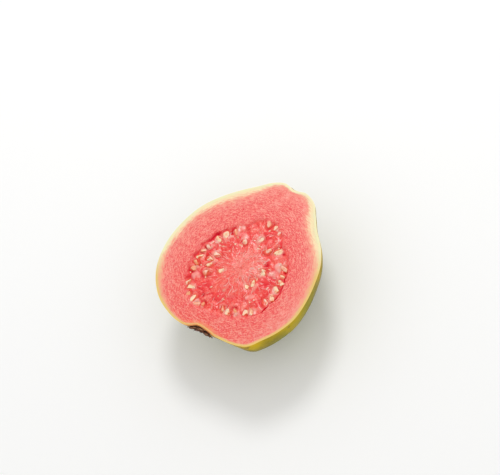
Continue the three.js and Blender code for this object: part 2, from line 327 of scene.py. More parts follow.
# Relief of the outer face: slow swellings, small dimples, and folds that run out of the calyx pit. It fades
# towards the cut and at both ends of the axis. The stalk has left a corky scar in the dimple at its end.
folds = np.cos(2 * PUCKER_TURNS * turn + PUCKER_SWAY * soft_noise(plain, PUCKER_SWAY_SIZE, 4))
nearness = bell(radius - PUCKER_MIDDLE, PUCKER_REACH) * (skin_x < PUCKER_END) * np.sin(turn)
lift = SWELL * soft_noise(plain, SWELL_SIZE, 1) + DIMPLE * soft_noise(plain, DIMPLE_SIZE, 2)
lift += PUCKER * folds * nearness
lift_by_calyx = lift * step_between(*RELIEF_BY_CALYX, radius)
lift_by_stem = lift * step_between(*RELIEF_BY_STEM, radius)
lift = np.where(skin_x < RELIEF_HALFWAY, lift_by_calyx, lift_by_stem)
lift *= RELIEF_AT_CUT + (1 - RELIEF_AT_CUT) * np.sin(turn)
outer = leaned(round_back(skin_x, radius + lift))
scar_share = np.linalg.norm(outer - SCAR_MIDDLE, axis=-1) / SCAR_RADIUS
scar_lift = SCAR_RIM * bell(scar_share - 1.05, 0.2) - SCAR_DEPTH * step_between(0.95, 0.5, scar_share)
outer[..., 0] += scar_lift * (1 + 0.4 * soft_noise(outer, 1.2, 3))

# Which way is out of the skin: along the axis at its two ends, and level round the cut.
across = np.cross(np.gradient(outer, axis=1), np.gradient(outer, axis=0))
across[0] = (-1, 0, 0)
across[-1] = (1, 0, 0)
across[:, (0, -1), 2] = 0
across /= np.linalg.norm(across, axis=-1, keepdims=True)
inner = (outer - SKIN_THICKNESS * across)[:, :: ROUND_BACK // INNER_ROUND_BACK]

# Where it rests, the skin is pressed flat, with a soft bend into the flat spot.
rest_depth = -CUT_LEVEL / MM
over_rest = outer[..., 2] - rest_depth
outer[..., 2] = rest_depth + (over_rest + np.sqrt(over_rest ** 2 + REST_SOFTNESS ** 2)) / 2
inner[..., 2] = np.maximum(inner[..., 2], rest_depth + SKIN_THICKNESS)

outer_numbers = grid_numbers(*outer.shape[:2])
inner_numbers = grid_numbers(*inner.shape[:2], first=outer_numbers.max() + 1)
skin_faces = grid_faces(outer_numbers) + grid_faces(inner_numbers, inwards=True)
skin_faces += between_rings(cut_edge(outer_numbers), cut_edge(inner_numbers))
skin_points = np.vstack([grid_points(outer), grid_points(inner)])

# The cut edge and the rind are palest by the stem end and on the left, level towards the lamp: that
# paleness is painted light, over their own cream and yellow.
EDGE_BY_STEM = colour(252, 238, 192)
EDGE_BELOW = colour(238, 200, 116)
EDGE_BY_CALYX = colour(232, 142, 84)
SKIN_GOLD = colour(216, 178, 0)
SKIN_LIME = colour(130, 132, 8)
SKIN_OLIVE = colour(124, 110, 12)
SKIN_BROWN = colour(122, 84, 38)
SKIN_SPECK = colour(220, 200, 84)
SCAR_CORK = colour(158, 124, 84)
SCAR_DARK = colour(84, 56, 30)
CALYX_END = Vector(place(-2, 0, 0))
LAMP_SIDE_WAY = Vector((0.886, 0.464, 0))
LAMP_SIDE_FROM = 28
LAMP_SIDE_TO = 42
EDGE_DEPTH = 0.3
# The skin turns from gold to darker green down from the cut, partly ripeness and partly painted shade.
RIPE_AND_SHADE_FROM = 19
RIPE_AND_SHADE_TO = 38
RIPE_AND_SHADE_SWAY = 44
RIPE_AND_SHADE_SWAY_SIZE = 24
FLECK_SPACING = 1.9
SCAR_END = 3.4
SCAR_AT = Vector(place(*SCAR_MIDDLE))
skin_material, tree, shader = new_material("guava skin", Roughness=0.42, Specular_IOR_Level=0.06)
spot = add_node(tree, "ShaderNodeTexCoord").outputs["Object"]
height = add_node(tree, "ShaderNodeSeparateXYZ", {0: spot}).outputs["Z"]


def vector_step(tree, operation, first, second):
    """One step of arithmetic on two vectors, or on a vector and a number."""
    outputs = add_node(tree, "ShaderNodeVectorMath", {0: first, 1: second}, operation=operation).outputs
    return outputs["Value" if operation in ("DISTANCE", "DOT_PRODUCT") else "Vector"]


def noise_in(tree, spot, size_mm, detail):
    """The value of a noise pattern with bumps about size_mm across, or of three sizes along the axes."""
    scale = tuple(1000 / np.broadcast_to(size_mm, 3))
    inputs = {"Vector": vector_step(tree, "MULTIPLY", spot, scale), "Scale": 1.0, "Detail": detail}
    return add_node(tree, "ShaderNodeTexNoise", inputs).outputs["Fac"]


def spread(tree, value, low, high, to_low=0.0, to_high=1.0):
    """A value moved from one range to another, and kept inside it."""
    inputs = {"Value": value, "From Min": low, "From Max": high, "To Min": to_low, "To Max": to_high}
    return add_node(tree, "ShaderNodeMapRange", inputs).outputs["Result"]


def mix_colours(tree, share, first, second):
    """First where the share is 0, second where it is 1."""
    return add_node(tree, "ShaderNodeMix", {0: share, 6: first, 7: second}, data_type="RGBA").outputs[2]


def maths(tree, operation, value, *others):
    """Adds the others to a value, or takes them off it, or whatever the operation is, one by one."""
    for other in others:
        value = add_node(tree, "ShaderNodeMath", {0: value, 1: other}, operation=operation).outputs[0]
    return value


def layered(tree, base, layers):
    """A base colour with layers over it. Each has a pattern, the values from and to which it comes in, its
    share at full strength, and its colour."""
    for pattern, low, high, most, over in layers:
        base = mix_colours(tree, spread(tree, pattern, low, high, 0, most), base, over)
    return base


def paler_towards_lamp(tree, spot, near, far):
    """The near colour by the calyx, and the far one well past it towards the lamp, painted paler as light.
    """
    past = vector_step(tree, "DOT_PRODUCT", vector_step(tree, "SUBTRACT", spot, CALYX_END), LAMP_SIDE_WAY)
    return layered(tree, near, [(past, LAMP_SIDE_FROM * MM, LAMP_SIDE_TO * MM, 1, far)])


def roughen(tree, shader, pattern, strength, height_mm):
    """Gives a surface the fine relief of a pattern."""
    inputs = {"Height": pattern, "Strength": strength, "Distance": height_mm * MM}
    tree.links.new(add_node(tree, "ShaderNodeBump", inputs).outputs[0], shader.inputs["Normal"])


# Golden near the cut and greener and darker below, past a line that sways: partly the fruit's own ripeness,
# partly painted shade under the fruit. Over it lie olive patches, pale flecks and brown blotches. The edges
# of the scar and of the tan by the calyx are frayed.
sway = maths(tree, "MULTIPLY", noise_in(tree, spot, RIPE_AND_SHADE_SWAY_SIZE, 3), RIPE_AND_SHADE_SWAY * MM)
swayed = maths(tree, "SUBTRACT", height, sway)
flecks = add_node(tree, "ShaderNodeTexVoronoi", {"Vector": spot, "Scale": 1 / (FLECK_SPACING * MM)})
flecks = flecks.outputs["Distance"]
fleck_size = spread(tree, noise_in(tree, spot, 5, 3), 0.4, 0.62, 0.05, 0.3)
to_calyx = vector_step(tree, "DISTANCE", spot, CALYX_END)
by_calyx = spread(tree, to_calyx, 8 * MM, 30 * MM, 0.2, 0)
blotches = maths(tree, "ADD", noise_in(tree, spot, 4, 5), by_calyx)
frayed = maths(tree, "MULTIPLY", noise_in(tree, spot, 0.8, 3), 2.2 * MM)
to_scar = maths(tree, "ADD", vector_step(tree, "DISTANCE", spot, SCAR_AT), frayed)
cork = layered(tree, SCAR_DARK, [
    (noise_in(tree, spot, 0.7, 4), 0.4, 0.62, 1, SCAR_CORK),
    (to_scar, SCAR_RADIUS * MM, SCAR_END * MM, 1, SCAR_DARK),
])
edge_colour = layered(tree, paler_towards_lamp(tree, spot, EDGE_BELOW, EDGE_BY_STEM), [
    (maths(tree, "ADD", to_calyx, frayed), 12 * MM, 7 * MM, 1, EDGE_BY_CALYX),
])
skin_colour = layered(tree, SKIN_GOLD, [
    (swayed, CUT_LEVEL - RIPE_AND_SHADE_FROM * MM, CUT_LEVEL - RIPE_AND_SHADE_TO * MM, 1, SKIN_LIME),
    (noise_in(tree, spot, 15, 4), 0.42, 0.62, 0.7, SKIN_OLIVE),
    (maths(tree, "SUBTRACT", fleck_size, flecks), 0, 0.16, 0.3, SKIN_SPECK),
    (blotches, 0.62, 0.74, 0.75, SKIN_BROWN),
    (to_scar, (SCAR_END + 1) * MM, SCAR_END * MM, 1, cork),
    (height, CUT_LEVEL - EDGE_DEPTH * MM, CUT_LEVEL - 0.02 * MM, 1, edge_colour),
])
tree.links.new(skin_colour, shader.inputs["Base Color"])
roughen(tree, shader, maths(tree, "ADD", noise_in(tree, spot, 0.9, 3), flecks), 0.25, 0.3)

skin = new_piece("guava_skin", place(*skin_points.T), skin_faces, skin_material)
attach(skin, "root")
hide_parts("guava_half")


# The flesh fills the skin as one body, and its cut face is what shows: firm coral flesh with a cream rind,
# and in the middle the soft wet pulp that holds the seeds in lumps. Flesh and pulp run into each other, but
# have parted along the left side, and by a hair on the right.

# The rim of the pulp from its middle, and the width of the rind, both at twelve even bearings. Bearings in
# the lists are degrees, from the stem end over the left. A reach is a share of the way to the rim.
ZONE_MIDDLE = np.array((35.0, 0.0))
ZONE_RIM = [27.8, 23.0, 22.5, 24.2, 27.2, 29.9, 26.4, 26.2, 25.6, 23.5, 23.1, 24.0]
RIND_WIDTH = [1.7, 4.2, 3.7, 3.1, 2.9, 1.9, 0.4, 1.2, 1.3, 2.7, 3.4, 5.0]
# A row of seeds has the bearings it starts and ends at, its count and its reach.
SEED_ROWS = [
    (38, 74, 3, 0.86),
    (81, 121, 5, 0.87),
    (129, 170, 6, 0.92),
    (183, 231, 5, 0.87),
    (240, 302, 6, 0.9),
    (317, 327, 1, 0.83),
    (341, 367, 3, 0.93),
    (84, 130, 4, 0.62),
    (327, 337, 1, 0.62),
    (352, 394, 2, 0.6),
    (222, 256, 2, 0.42),
    (276, 297, 2, 0.46),
    (120, 130, 1, 0.36),
]
SEED_TOP_BELOW_CUT = 0.05
SEED_HALF_LENGTH = 1.9
SEED_HALF_WIDTH = 1.4
SEED_HALF_HEIGHT = 1.2
FLESH_RINGS = 36
PULP_RINGS = 115
FACE_PARTS = 60
RIM_SWAY = 0.8
RIM_FRAY = 0.45
PULP_EDGE = (0.6, -2.0)
GAP_INSIDE = 0.4
GAPS = [
    dict(middle=84, half_span=38, depth=0.6, half_width=0.4),
    dict(middle=266, half_span=45, depth=0.75, half_width=0.24),
]
# A hollow has its bearing, reach and size.
HOLLOWS = [
    (88, 0.9, 1.0),
    (66, 0.97, 1.1),
    (157, 0.76, 0.8),
    (267, 0.92, 1.2),
    (292, 0.97, 0.9),
    (301, 0.52, 1.0),
    (316, 0.9, 1.0),
]
HOLLOW_DEPTH = 0.9
PULP_LEVEL = -0.75
PULP_CROWN = 0.5
LUMP_HEIGHT = 0.3
LUMP_SPACING = 4.3
LUMP_RINGS = (0.22, 0.38, 0.52, 0.66, 0.8, 0.94)
LUMP_RINGS_OUT = 25
CLEAR_OF_SEEDS = 2.3
LUMP_RADIUS = 2.6
BEND = 0.7
FOLD_WIDTH = 0.9
FOLD_DEPTH = 0.25
COLLAR_WIDTH = 0.4
SEED_BED = 0.5
FLESH_BELOW_CUT = 0.08
LEVEL_EDGE = 1.2
NEAR_SKIN = 6.5
POLAR_RADIUS = 30
# A deeper red patch of the pulp has its bearing, reach, size and depth, which is below 0 where it is paler.
PULP_PATCHES = [
    (271, 0.68, 6.8, 1.0),
    (185, 0.55, 5.0, 0.2),
    (55, 0.5, 7.0, 0.5),
    (335, 0.25, 6.0, -0.8),
]
DEEP_BEARING = 318
DEEP_REACH = 3.2
DEEP_MORE_REACH = 6.5
DEEP_SHARE = 0.5
DEEP_MORE_SHARE = 0.45


def around(values, bearing):
    """A value at bearings in radians, from values at even bearings round the zone's middle."""
    count = len(values)
    turns = (bearing / (2 * math.pi)) % 1 * count
    at = np.floor(turns).astype(int)
    a, b, c, d = (np.array(values)[(at + step) % count] for step in (-1, 0, 1, 2))
    t = turns - at
    return b + 0.5 * t * (c - a + t * (2 * a - 5 * b + 4 * c - d + t * (3 * (b - c) + d - a)))


def zone_bearing(x, y):
    """The bearing of points from the zone's middle, in radians."""
    return np.arctan2(y - ZONE_MIDDLE[1], x - ZONE_MIDDLE[0])


def drawn(number, draw):
    """A number from 0 to 1 that is always the same for the same number and draw."""
    wave = math.sin(number * 127.1 + draw * 311.7) * 43758.5453
    return wave - math.floor(wave)


def in_zone(bearing, reach):
    """A point at a bearing in radians and at a reach."""
    out = float(around(ZONE_RIM, np.array(bearing))) * reach
    return ZONE_MIDDLE[0] + out * math.cos(bearing), ZONE_MIDDLE[1] + out * math.sin(bearing)


def nearest(x, y, places):
    """How far each point is from the nearest of the places and from the next, and the nearest's number."""
    gaps = np.hypot(x[:, None] - places[:, 0], y[:, None] - places[:, 1])
    number = gaps.argmin(axis=1)
    two = np.partition(gaps, 1, axis=1)
    return two[:, 0], two[:, 1], number


# Each seed has its place, size, tilt, turn and roll, and a share of pulp over it from one side.
seeds = []
for start, end, count, reach in SEED_ROWS:
    for step in range(count):
        number = len(seeds) + 1
        steps = step + 0.5 + 0.35 * (drawn(number, 1) - 0.5)
        bearing = math.radians(start + (end - start) / count * steps)
        x, y = in_zone(bearing, reach + 0.07 * (drawn(number, 2) - 0.5))
        size = 0.8 + 0.6 * drawn(number, 3)
        tilt = 0.5 * (drawn(number, 5) - 0.5)
        seeds.append(dict(
            x=x,
            y=y,
            z=-SEED_TOP_BELOW_CUT - size * (SEED_HALF_HEIGHT + 0.4 * abs(tilt)),
            size=size,
            tilt=tilt,
            turn=bearing + math.pi + 1.6 * (drawn(number, 4) - 0.5),
            cover=drawn(number, 6),
            covered_from=2 * math.pi * drawn(number, 7),
            roll=2 * math.pi * drawn(number, 8),
        ))
seed_spots = [(seed["x"], seed["y"]) for seed in seeds]

# The pulp has a lump at each seed, and more in rings where no seed is near.
lump_spots = list(seed_spots)
for ring, reach in enumerate(LUMP_RINGS):
    count = round(2 * math.pi * reach * LUMP_RINGS_OUT / LUMP_SPACING)
    for step in range(count):
        number = 100 * ring + step
        bearing = 2 * math.pi * (step + 1.2 * drawn(number, 1)) / count
        lump_spot = in_zone(bearing, reach + 0.12 * (drawn(number, 2) - 0.5))
        if min(math.dist(lump_spot, seed_spot) for seed_spot in seed_spots) > CLEAR_OF_SEEDS:
            lump_spots.append(lump_spot)
seed_spots = np.array(seed_spots)
lump_spots = np.array(lump_spots)
lump_tones = np.array([drawn(number, 51) for number in range(len(lump_spots))])


def cut_face(x, y):
    """Height of the cut face in millimetres, and the shares that colour it, at points along and left."""
    bearing = zone_bearing(x, y)
    out = np.hypot(x - ZONE_MIDDLE[0], y - ZONE_MIDDLE[1])
    rim = around(ZONE_RIM, bearing)
    spot = np.stack([x, y, np.zeros_like(x)], axis=-1)
    past = out - rim + RIM_SWAY * soft_noise(spot, 3.8, 5) + RIM_FRAY * soft_noise(spot, 1.3, 6)
    inside = step_between(*PULP_EDGE, past)
    share = out / rim

    # Where flesh and pulp have parted, the gap comes and goes, and it is painted crimson as shade.
    crease = 0
    parted = 0
    for gap in GAPS:
        turned = (np.degrees(bearing) - gap["middle"] + 180) % 360 - 180
        open_here = np.exp(-(turned / gap["half_span"]) ** 6)
        open_here *= np.clip(0.75 + soft_noise(spot, 3.6, 7), 0.08, 1.4)
        width = gap["half_width"] * (0.6 + 0.5 * open_here)
        crease += gap["depth"] * open_here * bell(past + GAP_INSIDE, width)
        parted += open_here * bell(past + 1.5 * GAP_INSIDE, 1.7 * width)

    # Small hollows are left in the pulp, most of them by its rim, each painted crimson as shade.
    bent = spot[:, :2] + BEND * np.column_stack([soft_noise(spot, 2.6, 17), soft_noise(spot, 2.6, 18)])
    for hollow_bearing, reach, size in HOLLOWS:
        from_middle = bent - in_zone(math.radians(hollow_bearing), reach)
        dip = bell(np.hypot(*from_middle.T), size)
        crease += HOLLOW_DEPTH * dip
        parted += dip

    # Lumps of pulp lean on each other, with folds between them that are deep in some places only.
    first, second, lump_number = nearest(*bent.T, lump_spots)
    tone = lump_tones[lump_number]
    outer_part = step_between(0.4, 0.72, share)
    fold = bell(second - first, FOLD_WIDTH) * outer_part * np.clip(0.25 + soft_noise(spot, 3.4, 19), 0, 1)
    lump = np.sqrt(np.clip(1 - (first / LUMP_RADIUS) ** 2, 0, 1)) * outer_part

    # Some patches of the pulp are deeper red than the rest, and one is paler.
    deepness = 0
    for patch_bearing, reach, size, deep in PULP_PATCHES:
        from_middle = spot[:, :2] - in_zone(math.radians(patch_bearing), reach)
        deepness += deep * bell(np.hypot(*from_middle.T), size)

    # Each seed lies in a pocket. The pulp laps over it on one side and stands off it on the other.
    number = nearest(x, y, seed_spots)[2]
    held = {name: np.array([seed[name] for seed in seeds])[number] for name in seeds[0]}
    away_x = x - held["x"]
    away_y = y - held["y"]
    ahead = away_x * np.cos(held["turn"]) + away_y * np.sin(held["turn"])
    aside = away_y * np.cos(held["turn"]) - away_x * np.sin(held["turn"])
    seed_share = np.hypot(ahead / SEED_HALF_LENGTH, aside / SEED_HALF_WIDTH) / held["size"]
    lap = np.cos(np.arctan2(away_y, away_x) - held["covered_from"])
    collar = bell(seed_share - 1.1 + 0.2 * lap, COLLAR_WIDTH)
    pocket = collar * ((0.15 + 0.6 * held["cover"]) * lap - 0.15)
    under = step_between(0.85, 0.5, seed_share)

    polar = np.stack([7 * np.cos(bearing), 7 * np.sin(bearing), out / 9], axis=-1)
    ray = soft_noise(polar, 0.35, 8) * 0.6 + soft_noise(polar, 0.16, 9) * 0.4
    fine = 0.5 * soft_noise(spot, 1.1, 10) + 0.5 * soft_noise(spot, 0.55, 11)

    # The flesh is deeper red next to the pulp, and most so right of the stem end.
    right_of_stem = np.maximum(0, np.cos(bearing - math.radians(DEEP_BEARING))) ** 3
    deep_reach = DEEP_REACH + DEEP_MORE_REACH * right_of_stem
    deep_share = DEEP_SHARE + DEEP_MORE_SHARE * right_of_stem
    streak = soft_noise(spot, 1.7, 24)
    torn = np.clip(0.55 + 0.9 * soft_noise(spot, 1.6, 25), 0, 1)
    pulp = PULP_LEVEL + PULP_CROWN * (1 - step_between(0.1, 0.75, share))
    pulp += LUMP_HEIGHT * lump * (0.7 + 0.5 * soft_noise(spot, 5, 20)) - FOLD_DEPTH * fold
    pulp += pocket - SEED_BED * under
    pulp += 0.08 * ray * (1 - share) + 0.1 * fine + 0.2 * soft_noise(spot, 2.3, 12)
    flesh = 0.04 * fine + 0.07 * soft_noise(spot, 8, 13) - FLESH_BELOW_CUT
    height = flesh + (pulp - flesh) * inside - crease
    # Painted shade: the folds, and the side where the pulp stands off a seed, are coloured crimson.
    shadow = 0.9 * np.clip(-pocket, 0, 1) + 0.6 * fold

    # Round a seed the pulp is clear as jelly, and where it stands off, the seed's sac shows amber.
    return height, dict(
        pulpy=inside,
        hollow_shade=np.clip(parted + shadow * inside, 0, 1),
        lump=lump * inside * (1 - under),
        jelly=inside * bell(np.maximum(seed_share - 0.8, 0), 0.9) * np.clip(0.45 + 0.5 * lap + streak, 0, 1),
        sac=bell(seed_share - 0.95, 0.32) * np.clip(0.5 - 0.7 * lap, 0, 1) * inside,
        middle=step_between(0.62, 0.15, share),
        near_zone=deep_share * bell(np.maximum(past, 0), deep_reach),
        patch=0.5 + 0.5 * soft_noise(spot, 4.6, 22) + 0.3 * soft_noise(spot, 2.1, 23) - 0.5 * deepness,
        pale=step_between(0.66, 0.8, tone) * step_between(0.2, 0.7, lump) * torn * inside,
        deep=inside * np.clip(step_between(0.3, 0.15, tone) * step_between(0.1, 0.6, lump) + deepness, 0, 1),
    )


# The flesh's wall is the skin's inner face, and its cut face is rings from there to the zone's middle, level
# where it meets the skin. How far each point is from the skin is worked out in parts, to save memory.
wall_numbers = grid_numbers(*inner.shape[:2])
wall_points = grid_points(inner)
wall_count = len(wall_points)
ring = cut_edge(wall_numbers)
outline = wall_points[ring, :2]
rim_bearing = zone_bearing(*outline.T)
way = np.stack([np.cos(rim_bearing), np.sin(rim_bearing)], axis=-1)
zone_edge = ZONE_MIDDLE + way * around(ZONE_RIM, rim_bearing)[:, None]
flesh_rings = [outline + (zone_edge - outline) * share for share in np.linspace(0, 1, FLESH_RINGS + 1)[1:]]
pulp_shares = np.linspace(1, 0, PULP_RINGS + 1)[1:-1]
pulp_rings = [ZONE_MIDDLE + (zone_edge - ZONE_MIDDLE) * share for share in pulp_shares]
flat = np.vstack(flesh_rings + pulp_rings + [ZONE_MIDDLE])
face_height, face_shares = cut_face(*flat.T)
face_parts = np.array_split(flat, FACE_PARTS)
from_skin = np.concatenate([nearest(*part.T, outline)[0] for part in face_parts])
face_height *= step_between(0, LEVEL_EDGE, from_skin)

flesh_points = np.vstack([wall_points, np.column_stack([flat, face_height])])
flesh_faces = grid_faces(wall_numbers)
for number in range(FLESH_RINGS + PULP_RINGS - 1):
    inner_ring = wall_count + number * len(ring) + np.arange(len(ring))
    flesh_faces += between_rings(ring, inner_ring)
    ring = inner_ring
flesh_faces += between_rings(ring, np.full(len(ring), ring[-1] + 1))

FLESH_STEM = colour(239, 98, 93)
FLESH_CALYX = colour(236, 76, 64)
FLESH_DEEP = colour(236, 68, 70)
FLESH_PALE = colour(250, 172, 156)
RIND_CREAM = colour(250, 226, 182)
RIND_SAND = colour(238, 186, 132)
RIND_TAN = colour(246, 148, 100)
RIND_SALMON = colour(244, 164, 140)
PULP_CORAL = colour(246, 82, 70)
PULP_RED = colour(236, 44, 48)
PULP_PINK = colour(250, 122, 108)
PULP_ORANGE = colour(242, 74, 50)
# A pale pink for the pulp's streaks and jelly, and for its painted glints.
PULP_PALE_TISSUE_AND_GLINT = colour(252, 172, 156)
PULP_SAC = colour(244, 104, 72)
PULP_PALE = colour(254, 196, 184)
# The crimson of the creases, hollows, folds and seed moats is painted shade.
CREASE_SHADE_RED = colour(222, 12, 44)
flesh_material, tree, shader = new_material(
    "guava flesh", Subsurface_Weight=0.5, Subsurface_Radius=(1.0, 0.3, 0.2), Subsurface_Scale=1.3 * MM,
    Coat_Roughness=0.12, Specular_IOR_Level=0.25,
)
spot = add_node(tree, "ShaderNodeTexCoord").outputs["Object"]
polar = add_node(tree, "ShaderNodeAttribute", attribute_name="polar").outputs["Vector"]


def read(tree, name):
    """A share that the mesh carries under this name."""
    return add_node(tree, "ShaderNodeAttribute", attribute_name=name).outputs["Fac"]


# Grain of the flesh runs round the fruit in short strokes, and that of the pulp outwards from the middle.
grain = noise_in(tree, polar, (1.7, 1.7, 0.5), 3)
rays = noise_in(tree, polar, (0.9, 0.9, 5), 3)
fine = noise_in(tree, spot, 0.6, 4)
pores = noise_in(tree, polar, (0.6, 0.6, 0.35), 3)
mottle = noise_in(tree, spot, 3.4, 4)
near_skin = read(tree, "near_skin")
to_calyx = vector_step(tree, "DISTANCE", spot, CALYX_END)
from_calyx = spread(tree, to_calyx, 12 * MM, 42 * MM)
by_calyx = spread(tree, to_calyx, 16 * MM, 6 * MM, 0, 0.8)
rind = maths(tree, "ADD", read(tree, "rind"), spread(tree, grain, 0.3, 0.7, -0.2, 0.2))
flesh_colour = layered(tree, FLESH_CALYX, [
    (from_calyx, 0, 1, 1, FLESH_STEM),
    (mottle, 0.47, 0.64, 0.95, FLESH_DEEP),
    (mottle, 0.46, 0.34, 0.4, FLESH_PALE),
    (read(tree, "near_zone"), 0, 1, 1, FLESH_DEEP),
    (grain, 0.46, 0.66, 0.78, FLESH_PALE),
    (grain, 0.5, 0.32, 0.62, FLESH_DEEP),
    (pores, 0.48, 0.7, 0.85, FLESH_PALE),
    (pores, 0.5, 0.32, 0.75, FLESH_DEEP),
    (maths(tree, "MULTIPLY", near_skin, from_calyx), 0, 1, 0.4, FLESH_PALE),
    (near_skin, 0.86, 1, by_calyx, RIND_TAN),
    (rind, 0.12, 0.5, 1, RIND_SALMON),
    # Painted light: the rind and the cut edge grow paler towards the lamp.
    (rind, 0.4, 0.8, 1, paler_towards_lamp(tree, spot, RIND_SAND, RIND_CREAM)),
    (near_skin, 0.982, 0.999, 0.8, paler_towards_lamp(tree, spot, EDGE_BELOW, EDGE_BY_STEM)),
])

middle = read(tree, "middle")
pulpy = read(tree, "pulpy")
hollow_shade = read(tree, "hollow_shade")
ray_share = spread(tree, middle, 0, 1, 0.3, 0.85)
pulp_colour = layered(tree, PULP_CORAL, [
    (mottle, 0.4, 0.64, 1, PULP_RED),
    (read(tree, "patch"), 0.5, 0.95, 0.7, PULP_PINK),
    (noise_in(tree, spot, 5.5, 3), 0.52, 0.66, 0.7, PULP_ORANGE),
    (middle, 0, 1, 0.6, PULP_PINK),
    # Painted light: the tops of the lumps are a little pinker.
    (read(tree, "lump"), 0.6, 1, 0.25, PULP_PINK),
    (rays, 0.5, 0.66, ray_share, PULP_PALE_TISSUE_AND_GLINT),
    (rays, 0.48, 0.34, ray_share, PULP_RED),
    # Painted highlight: the fine pale specks are glints on the wet pulp.
    (fine, 0.52, 0.68, 0.6, PULP_PALE_TISSUE_AND_GLINT),
    (fine, 0.46, 0.32, 0.6, PULP_RED),
    (read(tree, "deep"), 0, 1, 0.8, PULP_RED),
    (read(tree, "jelly"), 0.3, 1, 0.75, PULP_PALE_TISSUE_AND_GLINT),
    (read(tree, "sac"), 0.1, 0.8, 0.8, PULP_SAC),
    (read(tree, "pale"), 0, 1, 0.8, PULP_PALE),
])
# Painted shade: the parted gap, the hollows, the folds and the moats by the seeds are crimson.
face_colour = layered(tree, flesh_colour, [(pulpy, 0, 1, 1, pulp_colour), (hollow_shade, 0, 1, 1, CREASE_SHADE_RED)])
wet = maths(tree, "SUBTRACT", spread(tree, pulpy, 0, 1, 0.08, 0.45), hollow_shade)
tree.links.new(face_colour, shader.inputs["Base Color"])
tree.links.new(spread(tree, pulpy, 0, 1, 0.42, 0.24), shader.inputs["Roughness"])
tree.links.new(wet, shader.inputs["Coat Weight"])
roughen(tree, shader, maths(tree, "ADD", fine, pores), 0.35, 0.2)

flesh = new_piece("guava_flesh", place(*flesh_points.T), flesh_faces, flesh_material)


def carry(piece, name, values):
    """Gives the piece's points a number or a vector each under a name."""
    values = np.asarray(values, np.float32)
    kind, field = ("FLOAT", "value") if values.ndim == 1 else ("FLOAT_VECTOR", "vector")
    piece.data.attributes.new(name, kind, "POINT").data.foreach_set(field, values.ravel())


# The wall, under the skin, is all rind. "polar" unrolls the face round its middle, for the grain to follow.
for name, values in face_shares.items():
    carry(flesh, name, np.concatenate([np.zeros(wall_count), values]))
uneven = 1 + 0.15 * soft_noise(np.column_stack([flat, 0 * flat[:, 0]]), 6, 16)
rind_width = around(RIND_WIDTH, zone_bearing(*flat.T)) * uneven
rind_values = np.exp(-(from_skin / rind_width) ** 1.6) * np.clip(0.28 + 0.21 * rind_width, 0, 1)
carry(flesh, "rind", np.concatenate([np.ones(wall_count), rind_values]))
carry(flesh, "near_skin", np.concatenate([np.ones(wall_count), bell(from_skin, NEAR_SKIN)]))
across_face = flesh_points[:, :2] - ZONE_MIDDLE
face_out = np.hypot(*across_face.T)[:, None]
face_way = across_face / np.maximum(face_out, 0.01)
carry(flesh, "polar", np.hstack([POLAR_RADIUS * face_way, face_out]) * MM)
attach(flesh, "root")
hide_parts("guava_half")


# The seeds are small hard cream stones, each held in a pocket in the pulp, pointed towards the middle, and
# flattened where it grew against others. Between them lie grains, seeds that never grew. One tree shapes a
# seed, sets a copy at each place, roughens it and gives it its material.
GRAINS = 60
SEED_POINT = 0.3
SEED_ROUGHNESS = 0.7
SEED_BUMP = 2.0
GRAIN_SUNK = 0.45
SEED_FLATS = [
    ((0.3, 1.0, 0.4), 0.64),
    ((0.2, -0.9, 0.7), 0.68),
    ((-0.3, 0.1, 1.0), 0.66),
    ((0.1, -0.4, -1.0), 0.62),
    ((-0.9, 0.4, -0.3), 0.74),
    ((0.6, 0.1, -0.8), 0.7),
]
SEED_CREAM = colour(255, 220, 180)
SEED_TAN = colour(246, 158, 100)
SEED_PINK = colour(255, 204, 184)
SEED_SHADE_ROSE = colour(244, 124, 76)


def new_tree(name, sizes):
    """An empty tree for making shapes, with a number input for each named size."""
    tree = bpy.data.node_groups.new(name, "GeometryNodeTree")
    tree.interface.new_socket("Geometry", in_out="INPUT", socket_type="NodeSocketGeometry")
    for title in sizes:
        tree.interface.new_socket(title, in_out="INPUT", socket_type="NodeSocketFloat")
    tree.interface.new_socket("Geometry", in_out="OUTPUT", socket_type="NodeSocketGeometry")
    return tree, add_node(tree, "NodeGroupInput").outputs


def named(tree, name, data_type="FLOAT"):
    """What the mesh carries under a name, for a tree that makes shapes."""
    node = add_node(tree, "GeometryNodeInputNamedAttribute", {"Name": name}, data_type=data_type)
    return node.outputs["Attribute"]


def flattened(tree, position, direction, level):
    """A position moved back on to a flat where it lies beyond a level along a direction."""
    way = Vector(direction).normalized()
    past = maths(tree, "SUBTRACT", vector_step(tree, "DOT_PRODUCT", position, way), level)
    over = vector_step(tree, "MULTIPLY", way, maths(tree, "MAXIMUM", past, 0))
    return vector_step(tree, "SUBTRACT", position, over)


def finish_tree(tree, geometry, material):
    """Ends a tree: copies made real, shaded smooth, with the material set."""
    real = add_node(tree, "GeometryNodeRealizeInstances", {"Geometry": geometry}).outputs[0]
    smooth = add_node(tree, "GeometryNodeSetShadeSmooth", {"Geometry": real}).outputs[0]
    dressed = add_node(tree, "GeometryNodeSetMaterial", {"Geometry": smooth, "Material": material})
    add_node(tree, "NodeGroupOutput", {0: dressed.outputs[0]})


def grow(piece, tree, sizes, node):
    """Runs a tree on a piece's mesh, keeps the result as a plain mesh, and places the piece on its body."""
    scene.collection.objects.link(piece)
    modifier = piece.modifiers.new(tree.name, "NODES")
    modifier.node_group = tree
    for item in tree.interface.items_tree:
        if item.in_out == "INPUT" and item.name in sizes:
            modifier[item.identifier] = sizes[item.name]
    graph = bpy.context.evaluated_depsgraph_get()
    made = bpy.data.meshes.new_from_object(
        piece.evaluated_get(graph), preserve_all_data_layers=True, depsgraph=graph
    )
    piece.modifiers.clear()
    piece.data = made
    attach(piece, "root")
    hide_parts(node)


